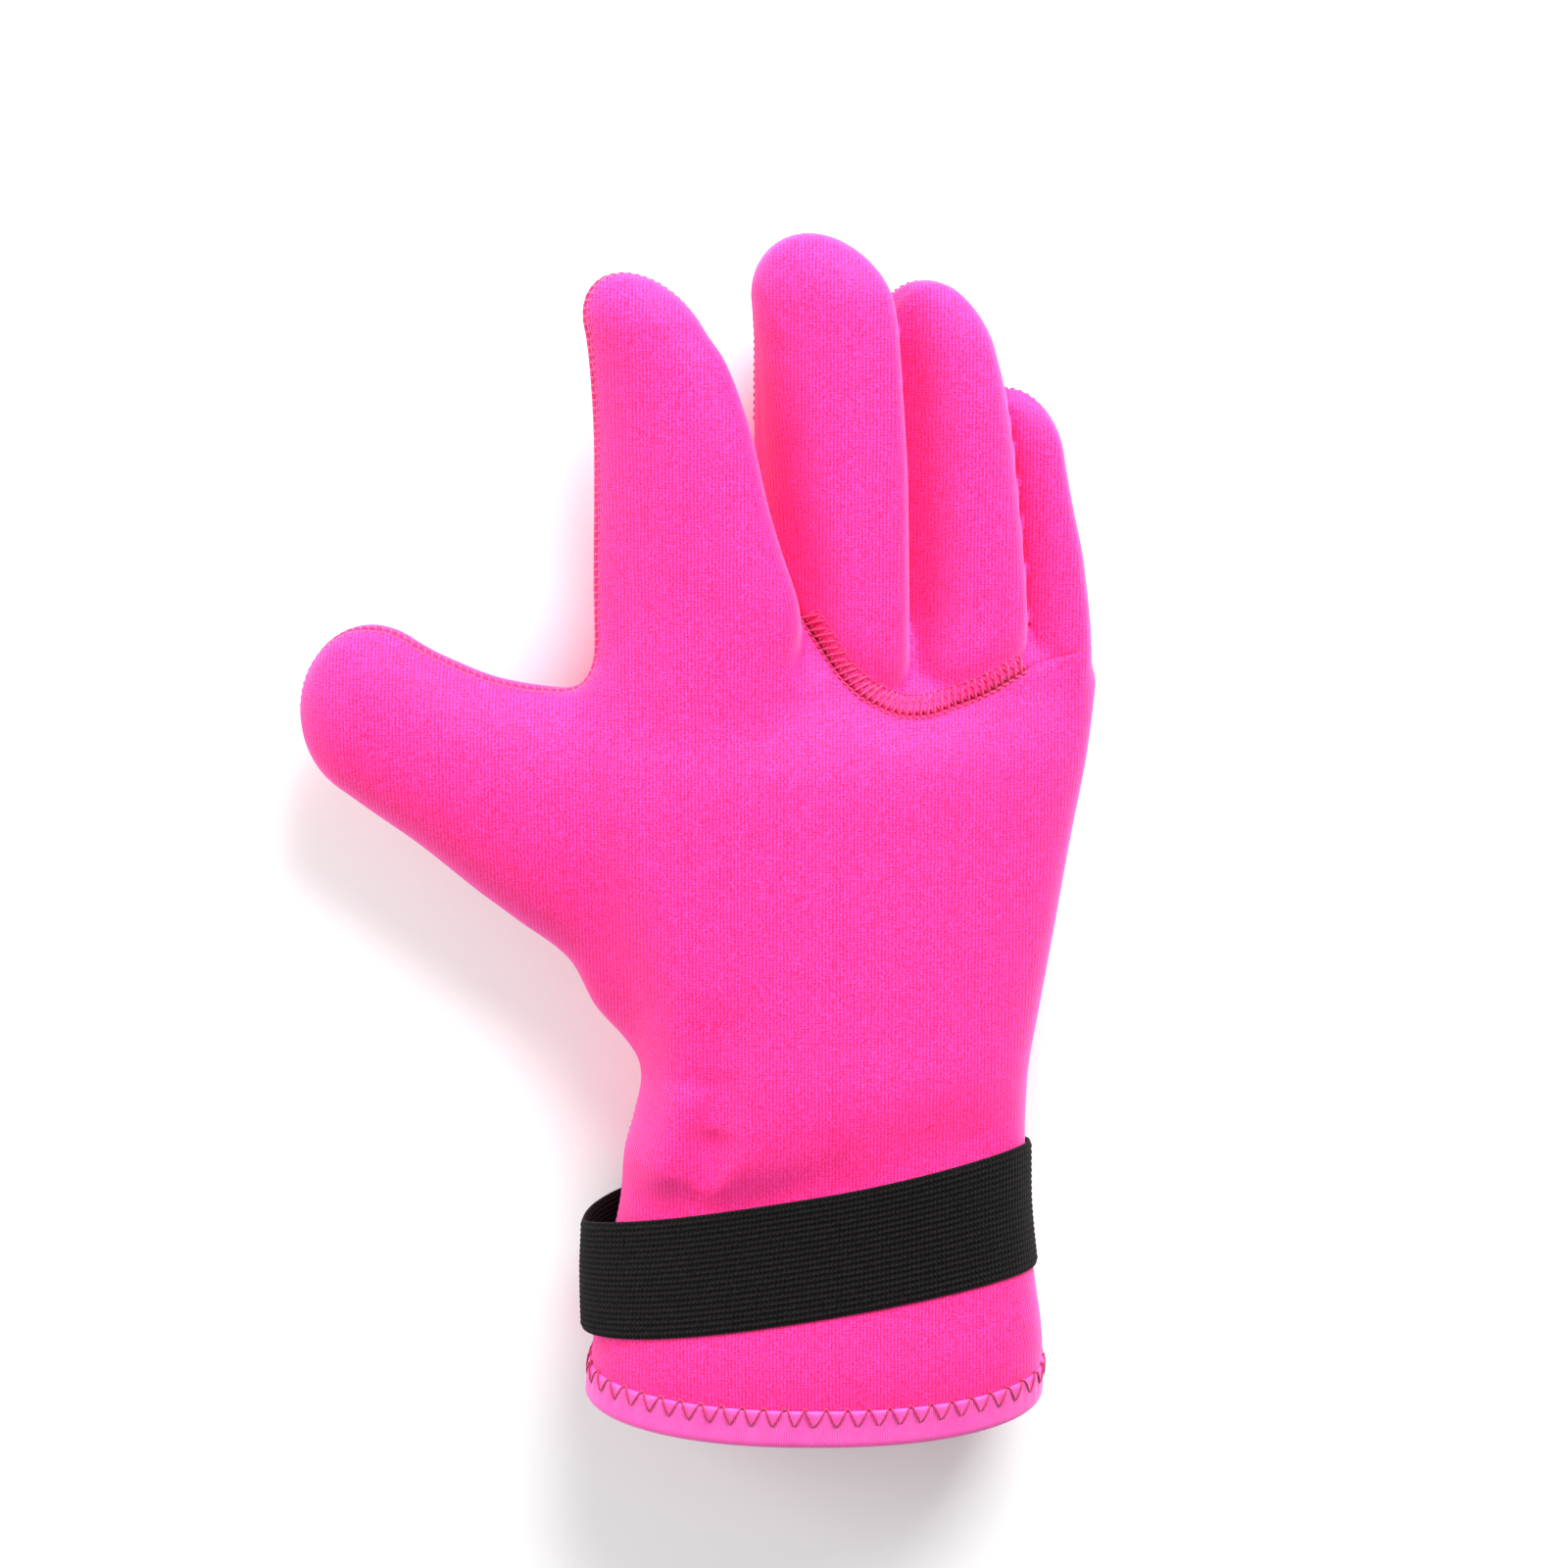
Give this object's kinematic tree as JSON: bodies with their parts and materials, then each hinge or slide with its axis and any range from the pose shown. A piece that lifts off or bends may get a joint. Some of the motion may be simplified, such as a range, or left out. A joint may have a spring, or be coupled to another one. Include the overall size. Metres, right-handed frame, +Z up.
{
  "type": "diving glove",
  "caption": "Hollow left-hand neoprene diving glove, palm up, with separate thumb and fingers, a bound cuff and an elastic strap round the wrist.",
  "frame": {"origin": "middle of the bounding box's under side, on the surface that the glove lies on", "axes": "+Y from the cuff to the fingertips, +X to the little finger's side, +Z up out of the palm"},
  "size_m": [0.1644, 0.2506, 0.0478],
  "materials": {
    "neoprene_palm": "bright pink jersey-faced neoprene, soft matte with a pale sheen",
    "neoprene_fingers": "bright pink jersey-faced neoprene, soft matte with a pale sheen",
    "neoprene_back": "bright pink jersey-faced neoprene, soft matte with a pale sheen",
    "binding_tape": "lighter pink stretch tape, soft satin",
    "elastic_webbing": "black ribbed elastic webbing, matte"
  },
  "bodies": {
    "root": {"palm_panel": "neoprene_palm", "finger_front_panel": "neoprene_fingers", "back_panel": "neoprene_back", "cuff_binding": "binding_tape", "wrist_strap": "elastic_webbing"}
  },
  "joints": []
}
